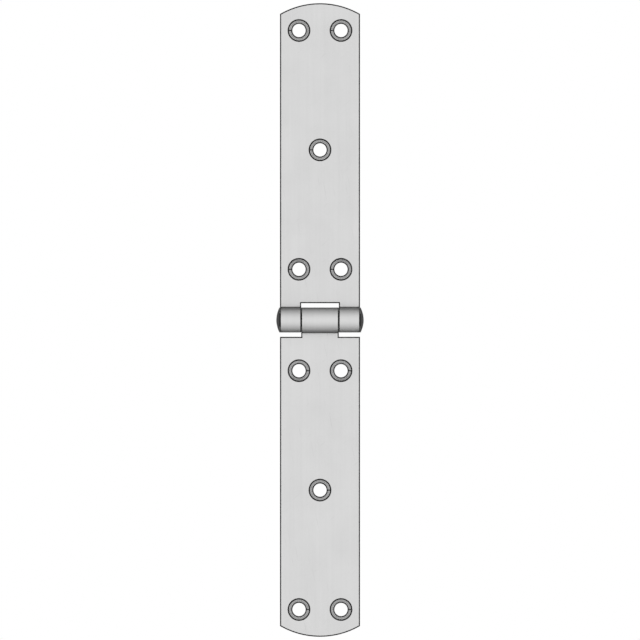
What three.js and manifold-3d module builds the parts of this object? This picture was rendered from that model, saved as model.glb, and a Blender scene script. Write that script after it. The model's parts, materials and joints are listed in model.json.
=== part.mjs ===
// A strap hinge: two straps of rolled steel strip that turn on one riveted pin.
//
// Millimetres. X runs along the pin, Z runs up the straps, and the front, which the screws
// enter, faces -Y. The origin is the middle of the pin.

import * as THREE from "three";
import { mergeVertices } from "three/addons/utils/BufferGeometryUtils.js";
import Module from "manifold-3d";

const wasm = await Module();
wasm.setup();

// Driving dimensions of the straps
const STRAP_WIDTH = 40;
const STRAP_LENGTH = 150; // from the shoulders beside the pin to the crown of the far end
const SHEET = 3; // thickness of the strip
const END_RADIUS = STRAP_WIDTH; // the far end is one shallow arc

// Driving dimensions of the knuckles and the pin
const PIN_RADIUS = 3.175;
const PIN_CLEARANCE = 0.075; // all round, between the pin and the knuckles
const MIDDLE_KNUCKLE = 18.7; // length along the pin
const KNUCKLE_GAP = 0.1; // between neighbouring knuckles, along the pin
const SHOULDER_GAP = 2.15; // between a knuckle and the strap edge that it faces
const CURL_GAP = 0.2; // between the end of the rolled strip and the strap's own front face
const HEAD_SEAT = 0.05; // between a pin head and the knuckle under it
const HEAD_RIM = 0.25; // straight edge of a head, below its dome
const DOME_HEIGHT = 1.55;

// Driving dimensions of the screw holes
const HOLE_RADIUS = 3.3;
const COUNTERSINK_RADIUS = 5.3; // at the front face, cut at 90 degrees
const PAIR_SPACING = 21; // between the two holes of a pair
const ROW_PITCH = 59.7; // between rows
const END_MARGIN = 13.65; // from the crown of the far end to the last row

// Fineness of the round shapes
const STEPS_PER_TURN = 48;
const ARC_STEPS = 24; // along the far end
const DOME_STEPS = 6; // from a head's rim to its crown

// Worked out from the above
const BORE_RADIUS = PIN_RADIUS + PIN_CLEARANCE;
const BARREL_RADIUS = BORE_RADIUS + SHEET;
const HALF_WIDTH = STRAP_WIDTH / 2;
const SHOULDER = BARREL_RADIUS + SHOULDER_GAP; // height of the strap's near edge above the pin
const TIP = SHOULDER + STRAP_LENGTH;
const BACK_FACE = BARREL_RADIUS; // Y of the strap's back, which the barrel touches
const FRONT_FACE = BARREL_RADIUS - SHEET; // Y of its front
const PAST = 2; // how far a cutting shape runs past what it cuts

const AXIS_X = new THREE.Vector3(1, 0, 0);
const AXIS_Y = new THREE.Vector3(0, 1, 0);
const AXIS_Z = new THREE.Vector3(0, 0, 1);

// A closed geometry as a solid that can be joined and cut.
function solid(geometry) {
  geometry.deleteAttribute("normal");
  geometry.deleteAttribute("uv");
  const merged = mergeVertices(geometry);
  const vertProperties = merged.attributes.position.array;
  const triVerts = new Uint32Array(merged.index.array);
  return new wasm.Manifold(new wasm.Mesh({ numProp: 3, vertProperties, triVerts }));
}

// A finished solid as a geometry again.
function geometryOf(made) {
  const { vertProperties, triVerts } = made.getMesh();
  const geometry = new THREE.BufferGeometry();
  geometry.setAttribute("position", new THREE.BufferAttribute(vertProperties, 3));
  geometry.setIndex(new THREE.BufferAttribute(triVerts, 1));
  return geometry;
}

function steelMesh(name, geometry, colour, roughness) {
  const material = new THREE.MeshStandardMaterial({
    color: colour,
    metalness: 1,
    roughness,
    flatShading: true,
  });
  const mesh = new THREE.Mesh(geometry, material);
  mesh.name = name;
  return mesh;
}

// The strip seen along the pin, as (Y, Z): straight down the back, round under the pin and up its
// front, and over the top until the square-cut end all but touches the strap's own front face.
function rolledStrip() {
  const curlEnd = Math.acos((FRONT_FACE - CURL_GAP) / BARREL_RADIUS);
  const section = new THREE.Shape();
  section.moveTo(BACK_FACE, TIP + PAST);
  section.lineTo(BACK_FACE, 0);
  section.absarc(0, 0, BARREL_RADIUS, 0, curlEnd, true);
  section.absarc(0, 0, BORE_RADIUS, curlEnd, 0, false);
  section.lineTo(FRONT_FACE, TIP + PAST);

  const geometry = new THREE.ExtrudeGeometry(section, {
    depth: STRAP_WIDTH + 2 * PAST,
    bevelEnabled: false,
    curveSegments: STEPS_PER_TURN / 2,
  });
  geometry.translate(0, 0, -HALF_WIDTH - PAST);
  geometry.applyMatrix4(new THREE.Matrix4().makeBasis(AXIS_Y, AXIS_Z, AXIS_X));
  return solid(geometry);
}

// The strap seen from the front, as (X, Z), and as deep as the whole barrel. Its foot steps from
// one height to another at X = -step and +step, which leaves a notch or a tongue between them.
function strapOutline(step, outerFoot, innerFoot) {
  const corner = Math.acos(HALF_WIDTH / END_RADIUS);
  const outline = new THREE.Shape();
  outline.moveTo(-HALF_WIDTH, outerFoot);
  outline.lineTo(-step, outerFoot);
  outline.lineTo(-step, innerFoot);
  outline.lineTo(step, innerFoot);
  outline.lineTo(step, outerFoot);
  outline.lineTo(HALF_WIDTH, outerFoot);
  outline.absarc(0, TIP - END_RADIUS, END_RADIUS, corner, Math.PI - corner, false);

  const geometry = new THREE.ExtrudeGeometry(outline, {
    depth: 2 * (BARREL_RADIUS + PAST),
    bevelEnabled: false,
    curveSegments: ARC_STEPS / 2,
  });
  geometry.translate(0, 0, -BARREL_RADIUS - PAST);
  geometry.applyMatrix4(new THREE.Matrix4().makeBasis(AXIS_X, AXIS_Z, AXIS_Y.clone().negate()));
  return solid(geometry);
}

// The tool that cuts one screw hole, standing along Y: a cone down from the front, then a shank.
function screwHole(x, z) {
  const depth = COUNTERSINK_RADIUS - HOLE_RADIUS;
  const profile = [
    new THREE.Vector2(0, FRONT_FACE - PAST),
    new THREE.Vector2(COUNTERSINK_RADIUS + PAST, FRONT_FACE - PAST),
    new THREE.Vector2(HOLE_RADIUS, FRONT_FACE + depth),
    new THREE.Vector2(HOLE_RADIUS, BACK_FACE + PAST),
    new THREE.Vector2(0, BACK_FACE + PAST),
  ];
  const geometry = new THREE.LatheGeometry(profile, STEPS_PER_TURN);
  geometry.translate(x, 0, z);
  return solid(geometry);
}

// Five holes: a pair near each end of the strap, and one on its centreline halfway between.
function screwHoles() {
  const lastRow = TIP - END_MARGIN;
  const middleRow = lastRow - ROW_PITCH;
  const firstRow = middleRow - ROW_PITCH;
  const holes = [screwHole(0, middleRow)];
  for (const side of [-1, 1]) {
    for (const row of [firstRow, lastRow]) {
      holes.push(screwHole((side * PAIR_SPACING) / 2, row));
    }
  }
  return holes.reduce((all, hole) => all.add(hole));
}

function strap(name, outline) {
  const made = rolledStrip().intersect(outline).subtract(screwHoles());
  return steelMesh(name, geometryOf(made), 0xd2d2d2, 0.42);
}

// The strap with the two outer knuckles: notched between them to clear the middle one.
function upperLeaf() {
  const notch = MIDDLE_KNUCKLE / 2 + KNUCKLE_GAP;
  return strap("upper_leaf", strapOutline(notch, -BARREL_RADIUS - PAST, SHOULDER));
}

// The strap with the middle knuckle: shouldered on both sides to clear the outer ones.
function lowerLeaf() {
  const tongue = MIDDLE_KNUCKLE / 2;
  return strap("lower_leaf", strapOutline(tongue, SHOULDER, -BARREL_RADIUS - PAST));
}

// One rod with both ends headed to shallow domes as wide as the barrel.
function hingePin() {
  const headBase = HALF_WIDTH + HEAD_SEAT;
  const domeBase = headBase + HEAD_RIM;
  const domeRadius = (BARREL_RADIUS ** 2 + DOME_HEIGHT ** 2) / (2 * DOME_HEIGHT);
  const domeCentre = domeBase + DOME_HEIGHT - domeRadius;
  const halfAngle = Math.asin(BARREL_RADIUS / domeRadius);

  // from the middle of the rod to the crown of one head, as (radius, distance along the rod)
  const half = [
    [PIN_RADIUS, headBase],
    [BARREL_RADIUS, headBase],
  ];
  for (let i = DOME_STEPS; i >= 0; i--) {
    const angle = (halfAngle * i) / DOME_STEPS;
    half.push([domeRadius * Math.sin(angle), domeCentre + domeRadius * Math.cos(angle)]);
  }
  const other = half.map(([radius, along]) => [radius, -along]).reverse();
  const profile = [...other, ...half].map(([radius, along]) => new THREE.Vector2(radius, along));

  const pin = steelMesh(
    "hinge_pin",
    new THREE.LatheGeometry(profile, STEPS_PER_TURN),
    0xbdbdbd,
    0.36,
  );
  pin.rotation.z = -Math.PI / 2; // from standing up Y to lying along X
  return pin;
}

// The half that stays put: the upper strap, with the pin riveted into its knuckles.
const fixedSide = new THREE.Group();
fixedSide.add(upperLeaf(), hingePin());

// The half that swings about X: built as the upper strap is, then turned end for end.
const swingingSide = new THREE.Group();
swingingSide.add(lowerLeaf());
swingingSide.rotation.y = Math.PI;

const strapHinge = new THREE.Group();
strapHinge.name = "strap_hinge";
strapHinge.add(fixedSide, swingingSide);

export default strapHinge;
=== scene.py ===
# The looks of a strap hinge: two straps of rolled steel strip, and the riveted pin they turn on.
#
# Metres, in the frame of the CAD model: X along the pin, Z up the straps, and the fronts face -Y.
# Each strap is worked out as the flat blank that it is made from, with rounded edges and screw
# holes, and then rolled round the pin. A point of a blank is (across, along, through): across is
# X, along runs up the strap from the height of the pin, and through goes from the back to the front.
import json

import bmesh
import bpy
import numpy as np
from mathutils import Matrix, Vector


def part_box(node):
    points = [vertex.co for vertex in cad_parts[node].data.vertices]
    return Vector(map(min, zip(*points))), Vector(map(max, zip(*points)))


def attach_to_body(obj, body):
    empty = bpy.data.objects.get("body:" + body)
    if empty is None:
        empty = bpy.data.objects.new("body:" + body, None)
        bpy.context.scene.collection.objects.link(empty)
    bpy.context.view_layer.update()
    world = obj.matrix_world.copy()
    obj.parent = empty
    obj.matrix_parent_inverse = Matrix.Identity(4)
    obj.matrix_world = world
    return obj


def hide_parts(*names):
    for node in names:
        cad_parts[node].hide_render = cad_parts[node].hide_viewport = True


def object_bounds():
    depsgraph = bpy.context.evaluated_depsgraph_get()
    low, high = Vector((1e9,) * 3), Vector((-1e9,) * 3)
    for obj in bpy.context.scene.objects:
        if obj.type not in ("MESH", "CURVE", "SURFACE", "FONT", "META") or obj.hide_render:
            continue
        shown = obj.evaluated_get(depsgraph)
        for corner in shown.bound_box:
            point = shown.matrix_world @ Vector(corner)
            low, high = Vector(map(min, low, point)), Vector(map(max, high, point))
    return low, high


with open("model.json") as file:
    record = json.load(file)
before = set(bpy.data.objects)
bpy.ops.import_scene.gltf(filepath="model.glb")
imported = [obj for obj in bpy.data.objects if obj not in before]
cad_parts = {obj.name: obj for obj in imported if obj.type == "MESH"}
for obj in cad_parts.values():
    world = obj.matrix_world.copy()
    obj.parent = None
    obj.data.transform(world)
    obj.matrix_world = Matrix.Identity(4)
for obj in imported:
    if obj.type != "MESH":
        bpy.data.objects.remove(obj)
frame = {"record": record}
cad_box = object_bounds()


# ---------------------------------------------------------------- sizes

# From the frame
HALF_WIDTH, BARREL_RADIUS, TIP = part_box("upper_leaf")[1]
HEAD_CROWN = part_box("hinge_pin")[1].x
LOWEST = cad_box[0].z

# The strip and its knuckles
SHEET = 0.003
END_RADIUS = 2 * HALF_WIDTH
SHOULDER_GAP = 0.00215  # between a knuckle and the strap edge that it faces
KNUCKLE_JOINT = 0.0094  # from the middle of the pin to where two knuckles meet
KNUCKLE_GAP = 0.00002
CURL_GAP = 0.0002  # between the end of the rolled strip and the strap's own front
SHOULDER = BARREL_RADIUS + SHOULDER_GAP
FRONT_FACE = BARREL_RADIUS - SHEET
MID_RADIUS = BARREL_RADIUS - SHEET / 2
CURL_TURN = 2 * np.pi - np.arccos((FRONT_FACE - CURL_GAP) / BARREL_RADIUS)
CURL_LENGTH = MID_RADIUS * CURL_TURN

# The pin
PIN_RADIUS = 0.003175
HEAD_SEAT = 0.00005  # between a head and the knuckle under it
HEAD_RIM = 0.00025  # straight edge of a head, below its dome
HEAD_BASE = HALF_WIDTH + HEAD_SEAT
DOME_HEIGHT = HEAD_CROWN - HEAD_BASE - HEAD_RIM
DENT = 0.00006  # depth of the hammer marks on the heads

# The screw holes
HOLE_RADIUS = 0.0033
COUNTERSINK_RADIUS = 0.0053
CONE_DEPTH = COUNTERSINK_RADIUS - HOLE_RADIUS

# The edges: each is rounded over EASE, and one more row of points a MARGIN beside it keeps the face
# flat. The face inside them is inset from the strap's outline.
EASE = 0.00025
MARGIN = 0.0004
INSET = EASE + MARGIN
HOLE_EASE = 0.00015
HOLE_MARGIN = 0.0003

# Fineness of the grids, in cells
TAB_CELLS = 12  # across an outer knuckle
MIDDLE_CELLS = 24  # across the middle knuckle, or the notch for it
BLOCK_CELLS = 16  # along each side of the square that a screw hole takes the place of
ROLL_CELLS = 80  # round the roll
NECK_CELLS = 6  # from the roll to the shoulder
SHOULDER_CELLS = 10  # from the shoulder to the first row of holes
TIP_CELLS = 8  # from the last row of holes to the far end
EASE_STEPS = 4  # over a rounded edge
DOME_CELLS = 20  # from the crown of a head to its rim
PIN_CELLS = 96  # round the pin

HOLE_BLOCK = 0.0066  # half the side of the square that a screw hole takes the place of
WELD = 1e-7  # points nearer to each other than this become one

# What a point knows besides its place: it is on a rounded edge, in a drilled hole, on a sheared side
TRAITS = ("arris", "drilled", "sheared")
PLAIN = (0.0, 0.0, 0.0)
ARRIS = (1.0, 0.0, 0.0)
DRILLED = (0.0, 1.0, 0.0)
DRILLED_ARRIS = (1.0, 1.0, 0.0)
SHEARED = (0.0, 0.0, 1.0)


# ---------------------------------------------------------------- surfaces

def patch(points, traits, closed=False, kept=None):
    """A grid of points, rows by columns, with one quad to each cell. A quad runs along its row and
    then up to the next, so it faces row x column up. Closed joins the last column to the first, and
    kept is a mask of the cells that have a quad."""
    rows, columns = points.shape[:2]
    index = np.arange(rows * columns).reshape(rows, columns)
    if closed:
        index = np.concatenate([index, index[:, :1]], axis=1)
    quads = np.stack([index[:-1, :-1], index[:-1, 1:], index[1:, 1:], index[1:, :-1]], axis=-1)
    quads = quads.reshape(-1, 4) if kept is None else quads[kept]
    spread = np.broadcast_to(traits, (rows, columns, len(TRAITS)))
    return points.reshape(-1, 3), quads, spread.reshape(-1, len(TRAITS))


def turned_over(made):
    """The same patch, facing the other way."""
    points, quads, traits = made
    return points, quads[:, ::-1], traits


def welded(name, patches):
    """One mesh of several patches: points in the same place become one, and a quad with two corners
    there becomes a triangle. Points that no quad uses are dropped."""
    starts = np.cumsum([0] + [len(points) for points, _, _ in patches[:-1]])
    points = np.concatenate([points for points, _, _ in patches])
    quads = np.concatenate([quads + start for (_, quads, _), start in zip(patches, starts)])
    traits = np.concatenate([traits for _, _, traits in patches])
    used, corners = np.unique(quads, return_inverse=True)
    mesh = bpy.data.meshes.new(name)
    mesh.from_pydata(points[used], [], corners.reshape(quads.shape))
    for trait, values in zip(TRAITS, traits[used].T):
        put_attribute(mesh, trait, "FLOAT", values)
    shell = bmesh.new()
    shell.from_mesh(mesh)
    bmesh.ops.remove_doubles(shell, verts=shell.verts, dist=WELD)
    shell.to_mesh(mesh)
    shell.free()
    return mesh


def put_attribute(mesh, name, kind, values):
    """One number or one vector to each vertex, which a material reads by its name."""
    field = "vector" if kind == "FLOAT_VECTOR" else "value"
    attribute = mesh.attributes.new(name, kind, "POINT")
    attribute.data.foreach_set(field, np.asarray(values, np.float32).ravel())


def vertices_of(mesh):
    places = np.empty(len(mesh.vertices) * 3, np.float32)
    mesh.vertices.foreach_get("co", places)
    return places.reshape(-1, 3).astype(float)


def eased(corners, ease, margin, traits, edge_traits):
    """A profile of straight sides with its inner corners rounded. Corner P becomes the curve
    (1-u)^2 A + 2u(1-u) P + u^2 B, where A and B lie ease along the sides, and so touches both; one
    more point a margin beyond A and B keeps the sides straight. traits has one entry to a side."""
    corners = np.asarray(corners, float)
    u = np.linspace(0, 1, EASE_STEPS + 1)[:, None]
    profile = [corners[:1]]
    marks = [[traits[0]]]
    for before, corner, after, side, next_side in zip(
        corners, corners[1:], corners[2:], traits, traits[1:]
    ):
        back = (before - corner) / np.linalg.norm(before - corner)
        on = (after - corner) / np.linalg.norm(after - corner)
        a, b = corner + ease * back, corner + ease * on
        profile += [a + [margin * back], (1 - u) ** 2 * a + 2 * u * (1 - u) * corner + u**2 * b]
        profile += [b + [margin * on]]
        marks += [[side], [edge_traits] * len(u), [next_side]]
    profile.append(corners[-1:])
    marks.append([traits[-1]])
    return np.concatenate(profile), np.concatenate(marks)


# ---------------------------------------------------------------- the blank of a strap

def hole_rows():
    """(across, along) of the screw holes of a strap, from the clear ways that the record states."""
    openings = frame["record"]["physics"]["openings"]
    boxes = [opening["box_m"] for opening in openings if opening["name"].startswith("upper_")]
    middles = np.mean(boxes, axis=1)[:, [0, 2]]
    return middles[np.lexsort(middles.T)]


HOLES = hole_rows()
PAIR_ACROSS = HOLES[:, 0].max()
FIRST_ROW, MIDDLE_ROW, LAST_ROW = np.unique(HOLES[:, 1].round(6))


def lines(*stops):
    """Places across the blank, from (place, cells to the next) pairs and one last place: evenly
    spaced from each stop to the next."""
    runs = [
        np.linspace(start, stop, cells, endpoint=False)
        for (start, cells), (stop, _) in zip(stops, stops[1:])
    ]
    return np.concatenate([*runs, [stops[-1][0]]])


def blank_grid(inner):
    """The points of one face of the blank, inside its rounded edges, rows by columns by (across,
    along). Each row goes from one side to the other, and between two stations it is
    (1 - f) lower + f upper. The columns so bend a little on the way up, and meet the foot's corners
    at +inner and -inner and the squares round the holes."""
    side = HALF_WIDTH - INSET
    near, far = PAIR_ACROSS - HOLE_BLOCK, PAIR_ACROSS + HOLE_BLOCK
    # the cells beside and between the two squares of a pair, so that every row has as many in all
    rest = (TAB_CELLS + MIDDLE_CELLS // 2 - BLOCK_CELLS) // 2 - 1
    between = 2 * (TAB_CELLS - BLOCK_CELLS - rest) + MIDDLE_CELLS
    foot = lines((-side, TAB_CELLS), (-inner, MIDDLE_CELLS), (inner, TAB_CELLS), (side, 0))
    pair = lines(
        (-side, rest), (-far, BLOCK_CELLS), (-near, between), (near, BLOCK_CELLS), (far, rest), (side, 0)
    )
    centre = lines(
        (-side, BLOCK_CELLS), (-HOLE_BLOCK, BLOCK_CELLS), (HOLE_BLOCK, BLOCK_CELLS), (side, 0)
    )
    end_arc = TIP - END_RADIUS + np.sqrt((END_RADIUS - INSET) ** 2 - pair**2)

    # (columns, height, cells up to the next station)
    stations = [
        (foot, INSET - CURL_LENGTH, ROLL_CELLS),
        (foot, 0, NECK_CELLS),
        (foot, SHOULDER + INSET, SHOULDER_CELLS),
        (pair, FIRST_ROW - HOLE_BLOCK, BLOCK_CELLS),
        (pair, FIRST_ROW + HOLE_BLOCK, BLOCK_CELLS),
        (centre, MIDDLE_ROW - HOLE_BLOCK, BLOCK_CELLS),
        (centre, MIDDLE_ROW + HOLE_BLOCK, BLOCK_CELLS),
        (pair, LAST_ROW - HOLE_BLOCK, BLOCK_CELLS),
        (pair, LAST_ROW + HOLE_BLOCK, TIP_CELLS),
        (pair, end_arc, 0),
    ]
    panels = []
    for (across, along, cells), (next_across, next_along, _) in zip(stations, stations[1:]):
        f = np.linspace(0, 1, cells, endpoint=False)[:, None]
        panel_across = across + f * (next_across - across)
        panel_along = along + f * (next_along - along) + 0 * across
        panels.append(np.stack([panel_across, panel_along], axis=-1))
    panels.append(np.stack([pair, end_arc], axis=-1)[None])
    return np.concatenate(panels)


def row_at(grid, along):
    """The number of the row of a blank's grid that lies nearest to a height."""
    return np.abs(grid[:, 0, 1] - along).argmin()


def column_at(grid, row, across):
    """The number of the column that lies nearest to a place across the blank, on one row."""
    return np.abs(grid[row, :, 0] - across).argmin()


def raised(places, height):
    """Points of the blank at one height through it, or at a height to each."""
    heights = np.broadcast_to(height, places.shape[:-1])
    return np.concatenate([places, heights[..., None]], axis=-1)


def ring_round(grid):
    """The border of a grid as one closed run of points: along the first row, up the last column,
    back along the last row and down the first column."""
    return np.concatenate([grid[0, :-1], grid[:-1, -1], grid[-1, :0:-1], grid[:0:-1, 0]])


def screw_hole(border, centre):
    """The surface that joins the square border of a block on the front to the same border on the
    back, through a countersunk hole. Its rings are centre + r (cos angle, sin angle), where r and the
    height follow the hole's profile, and on each face two more rings lie a third and two thirds of the
    way from the border to the first of them."""
    outside = HOLE_BLOCK - 2 * HOLE_MARGIN
    corners = [
        (outside, SHEET),
        (COUNTERSINK_RADIUS, SHEET),
        (HOLE_RADIUS, SHEET - CONE_DEPTH),
        (HOLE_RADIUS, 0),
        (outside, 0),
    ]
    sides = [PLAIN, DRILLED, DRILLED, PLAIN]
    profile, traits = eased(corners, HOLE_EASE, HOLE_MARGIN, sides, DRILLED_ARRIS)
    first_corner = -0.75 * np.pi  # the direction in which the border starts
    angle = first_corner + np.linspace(0, 2 * np.pi, len(border), endpoint=False)
    circle = np.stack([np.cos(angle), np.sin(angle)], axis=-1)

    radius, height = profile[1:-1].T
    rings = raised(centre + radius[:, None, None] * circle, height[:, None])
    front = raised(border, SHEET)
    back = raised(border, 0)
    thirds = np.array([0, 1, 2])[:, None, None] / 3
    from_front = front + thirds * (rings[0] - front)
    to_back = back + thirds[::-1] * (rings[-1] - back)
    points = np.concatenate([from_front, rings, to_back])
    marks = np.concatenate([[PLAIN] * len(thirds), traits[1:-1], [PLAIN] * len(thirds)])
    return patch(points, marks[:, None, :], closed=True)


def rounded_side(outline):
    """The narrow side of the blank, with both its edges rounded, all round. Each point Q of the
    outline moves out along m = (n + n') / (1 + n.n'), where n and n' are the normals of the two
    stretches that meet in it, so that every stretch moves by the same distance."""
    ahead = np.roll(outline, -1, axis=0) - outline
    normal = np.stack([ahead[:, 1], -ahead[:, 0]], axis=-1)
    normal /= np.linalg.norm(normal, axis=-1, keepdims=True)
    before = np.roll(normal, 1, axis=0)
    mitre = (before + normal) / (1 + (before * normal).sum(-1, keepdims=True))

    corners = [(0, 0), (INSET, 0), (INSET, SHEET), (0, SHEET)]
    profile, traits = eased(corners, EASE, MARGIN, [PLAIN, SHEARED, PLAIN], ARRIS)
    out, height = profile.T
    places = outline + out[:, None, None] * mitre
    return patch(raised(places, height[:, None]), traits[:, None, :], closed=True)


def strap_blank(name, inner, notched):
    """The whole surface of a blank. A notched one has two tabs at its foot, which become the outer
    knuckles, and the other has one tongue between its shoulders, which becomes the middle one."""
    grid = blank_grid(inner)
    shoulder = row_at(grid, SHOULDER + INSET)
    left, right = TAB_CELLS, TAB_CELLS + MIDDLE_CELLS
    kept = np.ones((grid.shape[0] - 1, grid.shape[1] - 1), bool)
    if notched:
        kept[:shoulder, left:right] = False
        outline = [
            grid[0, :left],
            grid[:shoulder, left],
            grid[shoulder, left:right],
            grid[shoulder:0:-1, right],
            grid[0, right:-1],
            grid[:-1, -1],
            grid[-1, :0:-1],
            grid[:0:-1, 0],
        ]
    else:
        kept[:shoulder, :left] = False
        kept[:shoulder, right:] = False
        outline = [
            grid[shoulder, :left],
            grid[shoulder:0:-1, left],
            grid[0, left:right],
            grid[:shoulder, right],
            grid[shoulder, right:-1],
            grid[shoulder:-1, -1],
            grid[-1, :0:-1],
            grid[:shoulder:-1, 0],
        ]
    patches = [rounded_side(np.concatenate(outline))]
    for hole in HOLES:
        across, along = hole - HOLE_BLOCK
        row = row_at(grid, along)
        column = column_at(grid, row, across)
        kept[row : row + BLOCK_CELLS, column : column + BLOCK_CELLS] = False
        border = ring_round(grid[row : row + BLOCK_CELLS + 1, column : column + BLOCK_CELLS + 1])
        patches.append(screw_hole(border, hole))
    patches.append(patch(raised(grid, SHEET), PLAIN, kept=kept))
    patches.append(turned_over(patch(raised(grid, 0), PLAIN, kept=kept)))
    return welded(name, patches)


def rolled(blank):
    """Where the points of a blank lie once it is rolled round the pin. Above the pin the strap is
    flat: (across, radius, along), with radius = BARREL_RADIUS - through. Below it the strip turns
    by angle = -along / MID_RADIUS: (across, radius cos angle, -radius sin angle)."""
    across, along, through = blank.T
    radius = BARREL_RADIUS - through
    angle = np.maximum(-along, 0) / MID_RADIUS
    return np.stack(
        [across, radius * np.cos(angle), np.maximum(along, 0) - radius * np.sin(angle)], axis=-1
    )


# ---------------------------------------------------------------- materials

FLOAT = "NodeSocketFloat"
VECTOR = "NodeSocketVector"


def node_group(name, inputs, outputs):
    """A shader group with named sockets. Returns (group, its input node, its output node)."""
    group = bpy.data.node_groups.new(name, "ShaderNodeTree")
    for socket, kind in inputs:
        group.interface.new_socket(name=socket, in_out="INPUT", socket_type=kind)
    for socket, kind in outputs:
        group.interface.new_socket(name=socket, in_out="OUTPUT", socket_type=kind)
    return group, group.nodes.new("NodeGroupInput"), group.nodes.new("NodeGroupOutput")


def attach(tree, socket, value):
    """Feeds a socket from another socket, or sets its own value."""
    if isinstance(value, bpy.types.NodeSocket):
        tree.links.new(value, socket)
    else:
        socket.default_value = value


def add(tree, kind, settings=None, **inputs):
    """A new node with its settings, and its inputs by name, where _ stands for a space."""
    node = tree.nodes.new(kind)
    for setting, value in (settings or {}).items():
        setattr(node, setting, value)
    for name, value in inputs.items():
        attach(tree, node.inputs[name.replace("_", " ")], value)
    return node


def maths(tree, operation, *values):
    """One step of arithmetic on sockets or numbers."""
    node = tree.nodes.new("ShaderNodeMath")
    node.operation = operation
    for socket, value in zip(node.inputs, values):
        attach(tree, socket, value)
    return node.outputs[0]


def vector_maths(tree, operation, *values):
    node = tree.nodes.new("ShaderNodeVectorMath")
    node.operation = operation
    for socket, value in zip(node.inputs, values):
        attach(tree, socket, value)
    return node.outputs["Value" if operation == "LENGTH" else "Vector"]


def remap(tree, value, low, high, to_low=0.0, to_high=1.0, smooth=False):
    """value taken from low..high to to_low..to_high, and held at the ends."""
    node = add(
        tree,
        "ShaderNodeMapRange",
        {"interpolation_type": "SMOOTHSTEP" if smooth else "LINEAR"},
        Value=value,
        From_Min=low,
        From_Max=high,
        To_Min=to_low,
        To_Max=to_high,
    )
    return node.outputs["Result"]


def mixed(tree, share, first, second):
    """first where share is 0, second where it is 1."""
    node = add(tree, "ShaderNodeMix", {"data_type": "FLOAT"})
    attach(tree, node.inputs[0], share)
    attach(tree, node.inputs[2], first)
    attach(tree, node.inputs[3], second)
    return node.outputs[0]


def noise(tree, place, detail=3.0, scale=1.0):
    """Smooth noise round 0.5, with a feature about as long as 1 / scale."""
    node = add(
        tree, "ShaderNodeTexNoise", Vector=place, Scale=scale, Detail=detail, Roughness=0.55
    )
    return node.outputs[0]


def grain_group():
    """Fine lines that run along the strip: noise on coordinates drawn out in one direction, once for
    the lines themselves and once, wider, for the faint bands that they gather into."""
    group, given, made = node_group(
        "rolled_grain",
        [("Place", VECTOR), ("Line", VECTOR), ("Band", VECTOR), ("Depth", FLOAT)],
        [("Shade", FLOAT), ("Height", FLOAT)],
    )
    place = given.outputs["Place"]
    fine = noise(group, vector_maths(group, "DIVIDE", place, given.outputs["Line"]))
    wide = noise(group, vector_maths(group, "DIVIDE", place, given.outputs["Band"]), detail=2.0)
    band_share = 0.6
    both = maths(group, "MULTIPLY_ADD", wide, band_share, maths(group, "MULTIPLY", fine, 1 - band_share))
    swing = maths(group, "MULTIPLY", maths(group, "SUBTRACT", both, 0.5), given.outputs["Depth"])
    attach(group, made.inputs["Shade"], maths(group, "ADD", swing, 1.0))
    attach(group, made.inputs["Height"], fine)
    return group


def scratch_group():
    """Sparse scratches: noise drawn out into streaks, of which only the highest crests are kept."""
    group, given, made = node_group(
        "handling_scratches",
        [("Place", VECTOR), ("Turn", VECTOR), ("Streak", VECTOR)],
        [("Mask", FLOAT)],
    )
    turned = add(
        group,
        "ShaderNodeVectorRotate",
        {"rotation_type": "EULER_XYZ"},
        Vector=given.outputs["Place"],
        Rotation=given.outputs["Turn"],
    )
    drawn = vector_maths(group, "DIVIDE", turned.outputs[0], given.outputs["Streak"])
    foot, crest = 0.71, 0.8  # of the noise: below the one there is no scratch, above the other it is full
    attach(group, made.inputs["Mask"], remap(group, noise(group, drawn, detail=1.0), foot, crest))
    return group


FILM_SPOT = 0.0007  # size of the spots where the film is rubbed
FILM_RUBBED = 0.1  # how much of it is gone there


def dark_edge_group():
    """The dark film left on rounded edges, rubbed thin in spots where the edge is handled."""
    group, given, made = node_group(
        "dark_edges",
        [("Edge", FLOAT), ("Place", VECTOR), ("Spot", FLOAT), ("Rubbed", FLOAT)],
        [("Mask", FLOAT)],
    )
    spots = noise(
        group,
        given.outputs["Place"],
        detail=4.0,
        scale=maths(group, "DIVIDE", 1.0, given.outputs["Spot"]),
    )
    worn = maths(group, "MULTIPLY", remap(group, spots, 0.5, 0.75), given.outputs["Rubbed"])
    film = maths(group, "SUBTRACT", 1.0, worn)
    attach(group, made.inputs["Mask"], maths(group, "MULTIPLY", given.outputs["Edge"], film))
    return group


def cutter_group():
    """Rings left by a turning tool: noise on (distance from the axis / pitch, a little of the
    direction), so that each ring keeps its tone most of the way round."""
    group, given, made = node_group(
        "cutter_rings",
        [("From axis", VECTOR), ("Pitch", FLOAT), ("Depth", FLOAT)],
        [("Shade", FLOAT), ("Height", FLOAT), ("Distance", FLOAT)],
    )
    distance = vector_maths(group, "LENGTH", given.outputs["From axis"])
    direction = vector_maths(group, "NORMALIZE", given.outputs["From axis"])
    rings = add(
        group, "ShaderNodeCombineXYZ", X=maths(group, "DIVIDE", distance, given.outputs["Pitch"])
    )
    place = vector_maths(group, "ADD", rings.outputs[0], direction)
    tone = noise(group, place, detail=2.0)
    swing = maths(group, "MULTIPLY", maths(group, "SUBTRACT", tone, 0.5), given.outputs["Depth"])
    attach(group, made.inputs["Shade"], maths(group, "ADD", swing, 1.0))
    attach(group, made.inputs["Height"], tone)
    attach(group, made.inputs["Distance"], distance)
    return group


def use(tree, group, **inputs):
    """A group placed in a material, with its inputs by name."""
    node = tree.nodes.new("ShaderNodeGroup")
    node.node_tree = group
    for name, value in inputs.items():
        attach(tree, node.inputs[name.replace("_", " ")], value)
    return node.outputs


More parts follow.
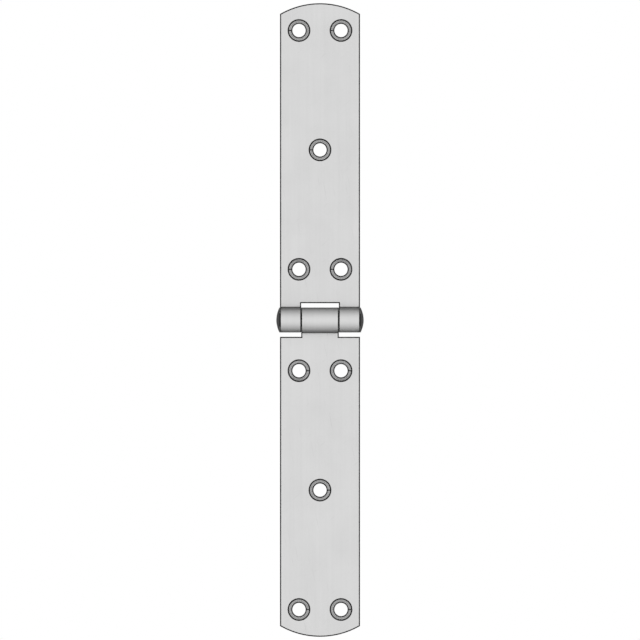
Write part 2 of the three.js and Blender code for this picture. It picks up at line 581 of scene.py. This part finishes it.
def read(tree, name):
    """An attribute of the piece."""
    return add(tree, "ShaderNodeAttribute", {"attribute_name": name}).outputs


def grey(tree, value):
    """A neutral colour from one value."""
    return add(tree, "ShaderNodeCombineColor", Red=value, Green=value, Blue=value).outputs[0]


def steel(name):
    """An empty material with the shader of bare steel. Returns (material, its tree, its shader)."""
    material = bpy.data.materials.new(name)
    material.use_nodes = True
    tree = material.node_tree
    shader = tree.nodes["Principled BSDF"]
    shader.inputs["Metallic"].default_value = 1.0
    return material, tree, shader


def film_on_edges(tree, place, arris, along, through, from_hole, drilled):
    """Where the dark film lies on a strap, before it is rubbed: over the rounded edges and on to the
    flat beside them as far as a ragged line, which is nearer at the knuckles; and on each
    countersink, round its small end. The line is where arris, which falls from 1 on a rounded edge
    to 0 on the face, has a value that wanders."""
    on_strap, on_knuckle, wandering, blur = 0.08, 0.4, 0.08, 0.14
    knuckle = remap(tree, along, 0.0, SHOULDER, 1.0, 0.0)
    rough = noise(tree, place, detail=2.0, scale=1400.0)
    wander = remap(tree, rough, 0.3, 0.7, -wandering, wandering)
    low = maths(tree, "ADD", wander, mixed(tree, knuckle, on_strap, on_knuckle))
    high = maths(tree, "ADD", low, blur)
    edge = remap(tree, arris, low, high)
    ring, ring_blur = 0.0005, 0.0001
    radius = vector_maths(tree, "LENGTH", from_hole)
    small_end = remap(tree, radius, HOLE_RADIUS + ring, HOLE_RADIUS + ring + ring_blur, 1.0, 0.0)
    bottom = SHEET - CONE_DEPTH - HOLE_EASE
    on_cone = remap(tree, through, bottom - HOLE_MARGIN / 2, bottom)
    on_cone = maths(tree, "MULTIPLY", drilled, on_cone)
    return maths(tree, "MAXIMUM", edge, maths(tree, "MULTIPLY", small_end, on_cone))


def painted_crease_shade(tree, along, through):
    """Painted shade in the crease where the strap's front goes in behind the barrel: a dark band on the
    front up to just past the crown of the barrel, and on the barrel, darker and darker as it turns in
    over the top."""
    top = BARREL_RADIUS + 0.0003
    blur = 0.0001
    on_front = remap(tree, along, top, top + blur, 1.0, 0.0)
    on_front = maths(tree, "MULTIPLY", on_front, maths(tree, "GREATER_THAN", along, 0.0))
    on_front = maths(tree, "MULTIPLY", on_front, maths(tree, "GREATER_THAN", through, SHEET - EASE / 2))
    start, full = np.radians((254, 276))
    deepest = 0.9
    on_barrel = remap(tree, along, -MID_RADIUS * full, -MID_RADIUS * start, deepest, 0.0)
    return maths(tree, "MAXIMUM", on_front, on_barrel)


def barrel_painted_shade(tree, along):
    """Painted shade on the barrel, by the angle that the strip has turned through: full tone in front,
    and darker towards its top and its bottom."""
    turned = maths(tree, "DIVIDE", along, -MID_RADIUS)
    from_front = maths(tree, "ABSOLUTE", maths(tree, "SUBTRACT", turned, np.pi))
    start, full, end, gone = np.radians((42, 74, 106, 138))
    rising = remap(tree, from_front, start, full, smooth=True)
    falling = remap(tree, from_front, end, gone, 1.0, 0.0, smooth=True)
    return maths(tree, "MULTIPLY", rising, falling)


def sheared_tone(tree, blank, through):
    """The sides of the strip as the shears left them: a band by the front that the blade burnished,
    and beyond a ragged line the dull grey of the metal that broke away. Both have fine lines
    through the thickness."""
    across_lines = noise(tree, vector_maths(tree, "DIVIDE", blank, (1.0, 0.00014, 0.003)), detail=2.0)
    ragged = noise(tree, vector_maths(tree, "DIVIDE", blank, (1.0, 0.0012, 0.004)), detail=3.0)
    wandering, blur = 0.0008, 0.0002
    line = 0.7 * SHEET
    height = maths(tree, "MULTIPLY_ADD", ragged, wandering, through)
    burnished = remap(tree, height, line, line + blur)
    torn_tone, burnished_tone = 0.34, 0.52
    tone = mixed(tree, burnished, torn_tone, burnished_tone)
    return maths(tree, "MULTIPLY", tone, remap(tree, across_lines, 0.3, 0.7, 0.86, 1.14)), across_lines


def lift_mark(tree, from_hole, drilled):
    """The short line from the rim of each countersink to its small end, on one side of it, where the
    cutter was lifted out."""
    half_width, blur = 0.0002, 0.00012
    from_middle = add(tree, "ShaderNodeSeparateXYZ", Vector=from_hole).outputs
    beside = maths(tree, "ABSOLUTE", from_middle["Y"])
    line = remap(tree, beside, half_width, half_width + blur, 1.0, 0.0)
    line = maths(tree, "MULTIPLY", line, maths(tree, "LESS_THAN", from_middle["X"], 0.0))
    return maths(tree, "MULTIPLY", line, drilled)


def strap_steel(grain, scratches, dark_edges, cutter):
    """Satin strip: fine lines along it, which follow the roll, faint clouds, a few scratches, rings in
    the countersinks with the short line where the cutter was lifted out, and dark rounded edges; with
    painted shade on the barrel's top and bottom and in the crease behind the barrel."""
    material, tree, shader = steel("satin_strip_steel")
    place = add(tree, "ShaderNodeTexCoord").outputs["Object"]
    blank = read(tree, "blank")["Vector"]
    from_hole = read(tree, "from_hole")["Vector"]
    arris = read(tree, "arris")["Fac"]
    drilled = read(tree, "drilled")["Fac"]
    sheared = read(tree, "sheared")["Fac"]
    blank_parts = add(tree, "ShaderNodeSeparateXYZ", Vector=blank).outputs
    along, through = blank_parts["Y"], blank_parts["Z"]

    lines_along = use(
        tree, grain, Place=blank, Line=(0.00012, 0.02, 0.0004), Band=(0.0016, 0.09, 0.002), Depth=0.12
    )
    clouds = noise(tree, place, detail=3.0, scale=55.0)
    marks_a = use(tree, scratches, Place=place, Turn=(0, 0.19, 0), Streak=(0.00045, 0.01, 0.016))["Mask"]
    marks_b = use(tree, scratches, Place=place, Turn=(0, -0.85, 0), Streak=(0.0004, 0.01, 0.007))["Mask"]
    marks = maths(tree, "MAXIMUM", marks_a, maths(tree, "MULTIPLY", marks_b, 0.6))
    rings = use(tree, cutter, From_axis=from_hole, Pitch=0.00011, Depth=0.22)

    # the tones of the faces, of the drilled surfaces and of the film, and how dark each mark and each
    # painted shade is
    dull, bright, bored_tone, film_tone = 0.675, 0.706, 0.76, 0.02
    mark_depth, barrel_shade_depth, mark_and_shade_depth = 0.07, 0.8, 0.95
    face = maths(tree, "MULTIPLY", lines_along["Shade"], remap(tree, clouds, 0.3, 0.7, dull, bright))
    face = maths(tree, "MULTIPLY", face, maths(tree, "MULTIPLY_ADD", marks, -mark_depth, 1.0))
    # painted shade: the barrel made darker towards its top and its bottom
    barrel_shade = maths(tree, "MULTIPLY_ADD", barrel_painted_shade(tree, along), -barrel_shade_depth, 1.0)
    face = maths(tree, "MULTIPLY", face, barrel_shade)
    sides, side_lines = sheared_tone(tree, blank, through)
    bored = maths(tree, "MULTIPLY", bored_tone, rings["Shade"])
    tone = mixed(tree, drilled, mixed(tree, sheared, face, sides), bored)

    film = film_on_edges(tree, place, arris, along, through, from_hole, drilled)
    film = use(tree, dark_edges, Edge=film, Place=place, Spot=FILM_SPOT, Rubbed=FILM_RUBBED)["Mask"]
    # painted shade in the crease behind the barrel, joined with the real short lines where the cutter was
    # lifted out
    lift_mark_and_shade = maths(tree, "MAXIMUM", lift_mark(tree, from_hole, drilled), painted_crease_shade(tree, along, through))
    dark = maths(tree, "MAXIMUM", film, maths(tree, "MULTIPLY", lift_mark_and_shade, mark_and_shade_depth))
    attach(tree, shader.inputs["Base Color"], grey(tree, mixed(tree, dark, tone, film_tone)))

    smoothest, roughest, rough_by_marks, unpolished = 0.34, 0.41, 0.10, 0.5
    rough = remap(tree, lines_along["Height"], 0.3, 0.7, smoothest, roughest)
    rough = maths(tree, "MULTIPLY_ADD", marks, rough_by_marks, rough)
    rough = mixed(tree, maths(tree, "MAXIMUM", dark, sheared), rough, unpolished)
    attach(tree, shader.inputs["Roughness"], rough)

    height = mixed(tree, sheared, lines_along["Height"], side_lines)
    height = mixed(tree, drilled, height, rings["Height"])
    height = maths(tree, "SUBTRACT", height, maths(tree, "MULTIPLY", marks, 0.5))
    bump = add(tree, "ShaderNodeBump", Height=height, Strength=0.35, Distance=0.00001)
    attach(tree, shader.inputs["Normal"], bump.outputs["Normal"])
    return material


def pin_steel(grain, dark_edges, cutter):
    """Turned and upset steel, kept far darker than the strap as painted shade for the dark shading on the
    heads:
    rings on the heads, faint hammer marks over them, fine lines round the shank, and a dark film where
    the heads' edges meet the knuckles."""
    material, tree, shader = steel("upset_pin_steel")
    shader.inputs["Specular Tint"].default_value = (0.4, 0.4, 0.4, 1)
    place = add(tree, "ShaderNodeTexCoord").outputs["Object"]
    parts = add(tree, "ShaderNodeSeparateXYZ", Vector=place).outputs
    from_axis = add(tree, "ShaderNodeCombineXYZ", X=parts["Y"], Y=parts["Z"]).outputs[0]
    arris = read(tree, "arris")["Fac"]

    lines_round = use(
        tree, grain, Place=place, Line=(0.0001, 0.01, 0.01), Band=(0.0012, 0.03, 0.03), Depth=0.16
    )
    rings = use(tree, cutter, From_axis=from_axis, Pitch=0.00022, Depth=0.5)
    hammered = noise(tree, place, detail=2.0, scale=900.0)
    film = use(tree, dark_edges, Edge=arris, Place=place, Spot=FILM_SPOT, Rubbed=FILM_RUBBED)["Mask"]

    # the pin's tones sit far below the strap's: painted shade for the heads' dark shading
    dull, bright, at_crown, at_rim, film_tone = 0.13, 0.18, 1.3, 0.9, 0.03
    smoothest, roughest = 0.34, 0.46
    outwards = remap(tree, rings["Distance"], 0.0, BARREL_RADIUS, at_crown, at_rim)
    tone = maths(tree, "MULTIPLY", lines_round["Shade"], rings["Shade"])
    tone = maths(tree, "MULTIPLY", tone, remap(tree, hammered, 0.3, 0.7, dull, bright))
    tone = maths(tree, "MULTIPLY", tone, outwards)
    attach(tree, shader.inputs["Base Color"], grey(tree, mixed(tree, film, tone, film_tone)))
    attach(tree, shader.inputs["Roughness"], remap(tree, hammered, 0.3, 0.7, smoothest, roughest))
    height = maths(tree, "MULTIPLY_ADD", hammered, 4.0, rings["Height"])
    bump = add(tree, "ShaderNodeBump", Height=height, Strength=0.4, Distance=0.00001)
    attach(tree, shader.inputs["Normal"], bump.outputs["Normal"])
    return material


# ---------------------------------------------------------------- pieces

def piece(mesh, material, body, node):
    """A finished piece: smooth but for its sharp corners, riding on its body for its CAD node."""
    sharp_corner = np.radians(40)
    mesh.shade_smooth()
    mesh.set_sharp_from_angle(angle=sharp_corner)
    mesh.materials.append(material)
    made = bpy.data.objects.new(mesh.name, mesh)
    bpy.context.scene.collection.objects.link(made)
    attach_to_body(made, body)
    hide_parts(node)


def strap_mesh(name, inner, notched, turned):
    """A strap, from its blank. turned sets it end for end, by half a turn about Y."""
    mesh = strap_blank(name, inner, notched)
    blank = vertices_of(mesh)
    apart = blank[:, None, :2] - HOLES
    nearest = np.linalg.norm(apart, axis=-1).argmin(axis=1)
    from_hole = apart[np.arange(len(blank)), nearest]
    put_attribute(mesh, "from_hole", "FLOAT_VECTOR", raised(from_hole, 0))
    put_attribute(mesh, "blank", "FLOAT_VECTOR", blank)
    places = rolled(blank)
    if turned:
        places *= [-1, 1, -1]
    mesh.vertices.foreach_set("co", places.astype(np.float32).ravel())
    mesh.update()
    return mesh


def pin_mesh(name):
    """The riveted pin: a profile of (radius, distance along X), from the crown of one head to the
    other's, turned round X. A head's dome is an arc with its centre on the axis, with the shallow
    dents of the hammer: it is lower by DENT (1 - cos(4 a + 3 q) cos(3 a - 8 q)) / 2 at angle a and at
    q, the share of the way from the crown to the rim, and by less than that near both."""
    dome_radius = (BARREL_RADIUS**2 + DOME_HEIGHT**2) / (2 * DOME_HEIGHT)
    half_angle = np.arcsin(BARREL_RADIUS / dome_radius)
    angle = np.linspace(0, half_angle, DOME_CELLS, endpoint=False)[:, None]
    centre = HEAD_CROWN - dome_radius
    dome = np.concatenate([dome_radius * np.sin(angle), centre + dome_radius * np.cos(angle)], axis=1)

    # the first corner only says in which direction the dome leaves the rim, and is then left out
    slope = np.array([-np.cos(half_angle), np.sin(half_angle)])
    rim_top = np.array([BARREL_RADIUS, HEAD_BASE + HEAD_RIM])
    corners = [
        rim_top + slope,
        rim_top,
        (BARREL_RADIUS, HEAD_BASE),
        (PIN_RADIUS, HEAD_BASE),
        (PIN_RADIUS, 0),
    ]
    ease = HEAD_RIM / 5
    profile, traits = eased(corners, ease, ease, [PLAIN, ARRIS, ARRIS, PLAIN], ARRIS)
    half = np.concatenate([dome, profile[1:]])
    marks = np.concatenate([np.zeros((len(dome), len(TRAITS))), traits[1:]])
    whole = np.concatenate([half, half[-2::-1] * [1, -1]])
    marks = np.concatenate([marks, marks[-2::-1]])

    turn = np.linspace(0, 2 * np.pi, PIN_CELLS, endpoint=False)
    radius, along = whole.T[:, :, None]
    share = radius / BARREL_RADIUS
    wave = (1 - np.cos(4 * turn + 3 * share) * np.cos(3 * turn - 8 * share)) / 2
    on_dome = np.where(np.abs(along) > rim_top[1], 4 * share * (1 - share), 0)
    dented = along - np.sign(along) * DENT * wave * on_dome
    points = np.stack([dented, radius * np.cos(turn), radius * np.sin(turn)], axis=-1)
    return welded(name, [turned_over(patch(points, marks[:, None, :], closed=True))])


def build_hinge():
    """The three pieces, each riding on its body."""
    grain = grain_group()
    dark_edges = dark_edge_group()
    cutter = cutter_group()
    strip = strap_steel(grain, scratch_group(), dark_edges, cutter)
    pin = pin_steel(grain, dark_edges, cutter)

    notch = KNUCKLE_JOINT + KNUCKLE_GAP / 2 + INSET
    tongue = KNUCKLE_JOINT - KNUCKLE_GAP / 2 - INSET
    upper = strap_mesh("upper_strap", notch, notched=True, turned=False)
    lower = strap_mesh("lower_strap", tongue, notched=False, turned=True)
    piece(upper, strip, "fixed_side", "upper_leaf")
    piece(lower, strip, "swinging_side", "lower_leaf")
    piece(pin_mesh("rivet_pin"), pin, "fixed_side", "hinge_pin")


# ---------------------------------------------------------------- floor, light and camera

def build_floor():
    """A wide pale floor just under the lower strap's tip. The steel doesn't mirror it, and it keeps
    no light off the steel."""
    half = 12.0
    below = 0.0004
    mesh = bpy.data.meshes.new("floor")
    corners = [(x * half, y * half, LOWEST - below) for x, y in ((-1, -1), (1, -1), (1, 1), (-1, 1))]
    mesh.from_pydata(corners, [], [(0, 1, 2, 3)])
    material = bpy.data.materials.new("pale_floor")
    material.use_nodes = True
    shader = material.node_tree.nodes["Principled BSDF"]
    shader.inputs["Base Color"].default_value = (0.8, 0.8, 0.8, 1)
    shader.inputs["Roughness"].default_value = 1.0
    shader.inputs["Specular IOR Level"].default_value = 0.0
    shader.inputs["Emission Color"].default_value = (1, 1, 1, 1)
    shader.inputs["Emission Strength"].default_value = 0.45
    mesh.materials.append(material)
    floor = bpy.data.objects.new("floor", mesh)
    floor.visible_glossy = False
    floor.visible_shadow = False
    bpy.context.scene.collection.objects.link(floor)


def build_light():
    """A soft studio that is brightest in front of the hinge and fades all the way round it, with a
    weaker soft light behind. By the direction d, the front light is ((1 - d_y) / 2) ^ FADE and the
    back light is d_y (1 - d_z^2)^2, where d_y is positive. The camera itself sees plain white."""
    front, fade, back = 1.045, 1.3, 0.85
    world = bpy.data.worlds.new("soft_studio")
    bpy.context.scene.world = world
    world.use_nodes = True
    tree = world.node_tree
    direction = add(tree, "ShaderNodeTexCoord").outputs["Generated"]
    parts = add(tree, "ShaderNodeSeparateXYZ", Vector=direction).outputs
    towards = maths(tree, "MULTIPLY_ADD", parts["Y"], -0.5, 0.5)
    before = maths(tree, "MULTIPLY", maths(tree, "POWER", towards, fade), front)
    level = maths(tree, "MULTIPLY_ADD", maths(tree, "POWER", parts["Z"], 2.0), -1.0, 1.0)
    behind = maths(tree, "MULTIPLY", maths(tree, "MAXIMUM", parts["Y"], 0.0), back)
    behind = maths(tree, "MULTIPLY", behind, maths(tree, "POWER", level, 2.0))
    seen = add(tree, "ShaderNodeLightPath").outputs["Is Camera Ray"]
    strength = mixed(tree, seen, maths(tree, "ADD", before, behind), 1.0)
    attach(tree, tree.nodes["Background"].inputs["Strength"], strength)
    tree.nodes["Background"].inputs["Color"].default_value = (1, 1, 1, 1)
    bpy.context.scene.view_settings.view_transform = "Standard"


def build_camera():
    """A parallel view square on to the front, with the whole hinge just inside its height."""
    hinge_share = 0.99  # of the height of the view
    distance = 1.0
    data = bpy.data.cameras.new("front_view")
    data.type = "ORTHO"
    data.ortho_scale = 2 * TIP / hinge_share
    camera = bpy.data.objects.new("front_view", data)
    camera.location = (0, -distance, 0)
    camera.rotation_euler = (np.pi / 2, 0, 0)
    bpy.context.scene.collection.objects.link(camera)
    bpy.context.scene.camera = camera


build_hinge()
build_floor()
build_light()
build_camera()
